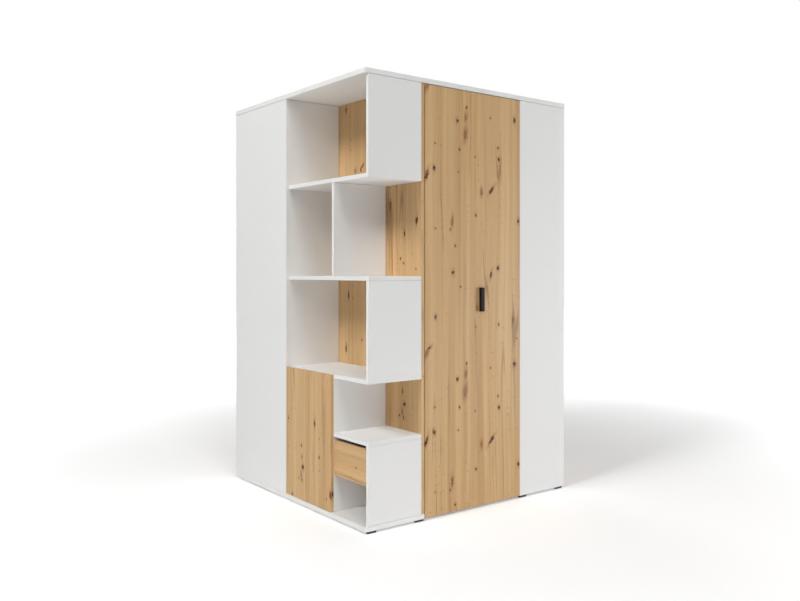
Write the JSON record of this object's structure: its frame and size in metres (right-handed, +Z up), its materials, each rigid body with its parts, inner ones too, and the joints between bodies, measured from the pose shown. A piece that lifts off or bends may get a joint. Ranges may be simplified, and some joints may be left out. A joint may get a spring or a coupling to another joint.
{
  "type": "corner wardrobe",
  "caption": "Tall corner wardrobe with open shelf niches, a small cupboard and a drawer on one face, and a folding oak-look door with a shell handle on the other.",
  "frame": {"origin": "centre of the bounding box's footprint, on the floor under the feet", "axes": "+Z up; +X along the door face, away from the near corner; +Y along the shelf face, away from the near corner, so the folding door faces -Y and the open shelves face -X"},
  "size_m": [1.25, 1.226, 1.97],
  "materials": {
    "knotty_oak_decor": "satin knotty oak decor on chipboard, vertical grain",
    "white_melamine": "smooth matte white melamine on chipboard",
    "white_hardboard": "thin hardboard, painted white inside",
    "black_metal": "satin black powder coat",
    "black_plastic": "matte black",
    "steel": "nickel-plated steel",
    "aluminium": "plain anodised"
  },
  "bodies": {
    "carcass": {"niche_back_panel": "knotty_oak_decor", "top_board": "white_melamine", "base_board": "white_melamine", "door_partition": "white_melamine", "niche_end_panel": "white_melamine", "shelf_1": "white_melamine", "shelf_2": "white_melamine", "shelf_3": "white_melamine", "shelf_4": "white_melamine", "divider_upper": "white_melamine", "divider_lower": "white_melamine", "side_panel_upper": "white_melamine", "side_panel_middle": "white_melamine", "side_panel_lower": "white_melamine", "front_panel_left": "white_melamine", "front_panel_right": "white_melamine", "left_end_panel": "white_melamine", "right_end_panel": "white_melamine", "corner_post": "white_melamine", "alcove_shelf_lower": "white_melamine", "alcove_shelf_upper": "white_melamine", "bay_shelf_lower": "white_melamine", "bay_shelf_upper": "white_melamine", "back_sheet_right": "white_hardboard", "back_sheet_rear": "white_hardboard", "foot_1": "black_plastic", "foot_2": "black_plastic", "foot_3": "black_plastic", "foot_4": "black_plastic", "foot_5": "black_plastic", "foot_6": "black_plastic", "foot_7": "black_plastic", "drawer_runner_right": "black_plastic", "drawer_runner_left": "black_plastic", "clothes_rail": "steel", "rail_bracket_1": "steel", "rail_bracket_2": "steel", "hinge_arm_1": "steel", "hinge_arm_2": "steel", "bottom_pivot": "steel", "guide_track": "aluminium"},
    "left_leaf": {"door_leaf_left": "knotty_oak_decor", "top_pivot": "steel", "fold_hinge_left_1": "steel", "fold_hinge_left_2": "steel", "fold_hinge_left_3": "steel"},
    "right_leaf": {"door_leaf_right": "knotty_oak_decor", "shell_handle": "black_metal", "guide_pin": "steel", "fold_hinge_right_1": "steel", "fold_hinge_right_2": "steel", "fold_hinge_right_3": "steel"},
    "small_door": {"cupboard_door": "knotty_oak_decor", "hinge_cup_1": "steel", "hinge_cup_2": "steel"},
    "drawer": {"drawer_front": "knotty_oak_decor", "drawer_side_right": "white_melamine", "drawer_side_left": "white_melamine", "drawer_back": "white_melamine", "drawer_bottom": "white_hardboard"}
  },
  "joints": [
    {"name": "leaf_pivot", "type": "hinge", "parent": "carcass", "child": "left_leaf", "pos_m": [-0.255, -0.587, 0.97775], "axis": [0, 0, -1], "range_deg": [0, 80]},
    {"name": "leaf_fold", "type": "hinge", "parent": "left_leaf", "child": "right_leaf", "pos_m": [-0.001, -0.5777, 0.97775], "axis": [0, 0, -1], "range_deg": [-160, 0]},
    {"name": "small_door_hinge", "type": "hinge", "parent": "carcass", "child": "small_door", "pos_m": [-0.625, 0.068, 0.34], "axis": [0, 0, -1], "range_deg": [0, 95]},
    {"name": "drawer_slide", "type": "slide", "parent": "carcass", "child": "drawer", "axis": [-1, 0, 0], "range_m": [0, 0.2]}
  ],
  "couplings": [
    {"joint": "leaf_fold", "follows": "leaf_pivot", "ratio": -2}
  ]
}
